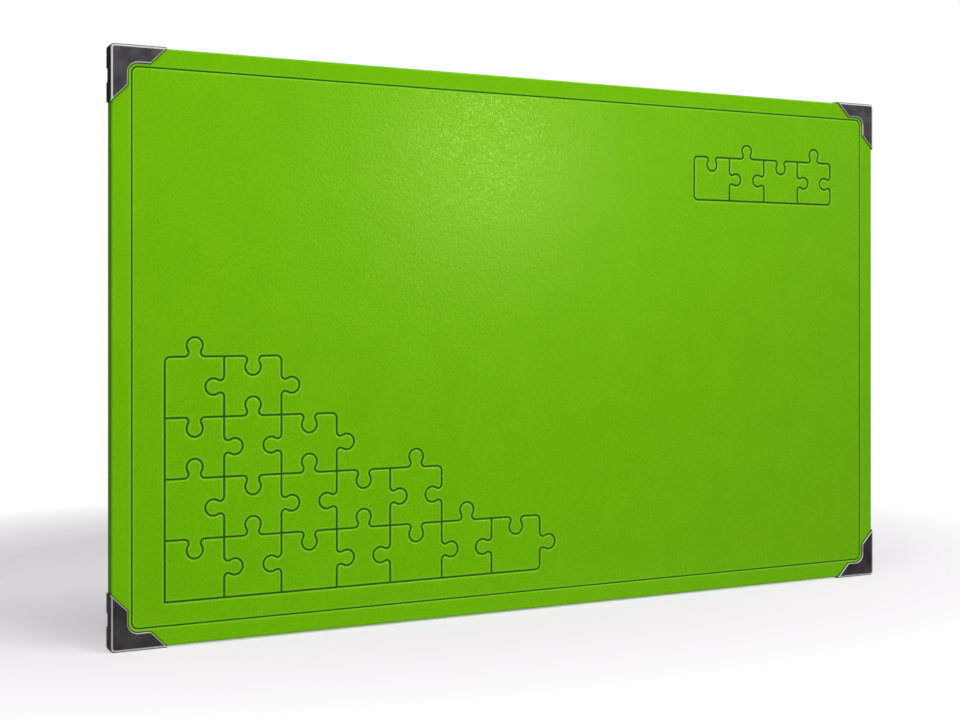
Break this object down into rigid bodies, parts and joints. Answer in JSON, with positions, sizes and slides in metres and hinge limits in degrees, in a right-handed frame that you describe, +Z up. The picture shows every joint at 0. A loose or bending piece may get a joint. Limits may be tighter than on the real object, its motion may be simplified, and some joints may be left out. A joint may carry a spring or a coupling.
{
  "type": "jigsaw puzzle board",
  "caption": "Rigid leatherette-covered panel for building a jigsaw puzzle on, with a grooved border line, pressed metal corner guards and a felt work surface on its back.",
  "frame": {"origin": "bottom centre of the bounding box: on the surface the board stands on, under the middle of its width and of its thickness over the corner guards", "axes": "+Z up, +X along the width, the leatherette front faces -Y and the felt back faces +Y"},
  "size_m": [0.6018, 0.0114, 0.3718],
  "materials": {
    "core_board": "matte",
    "foam": "matte",
    "leatherette": "satin",
    "felt": "matte",
    "guard_metal": "polished"
  },
  "bodies": {
    "root": {"core_board": "core_board", "foam_pad": "foam", "leatherette_cover": "leatherette", "felt_work_surface": "felt", "corner_guard_bottom_left": "guard_metal", "corner_guard_bottom_right": "guard_metal", "corner_guard_top_left": "guard_metal", "corner_guard_top_right": "guard_metal"}
  },
  "joints": []
}
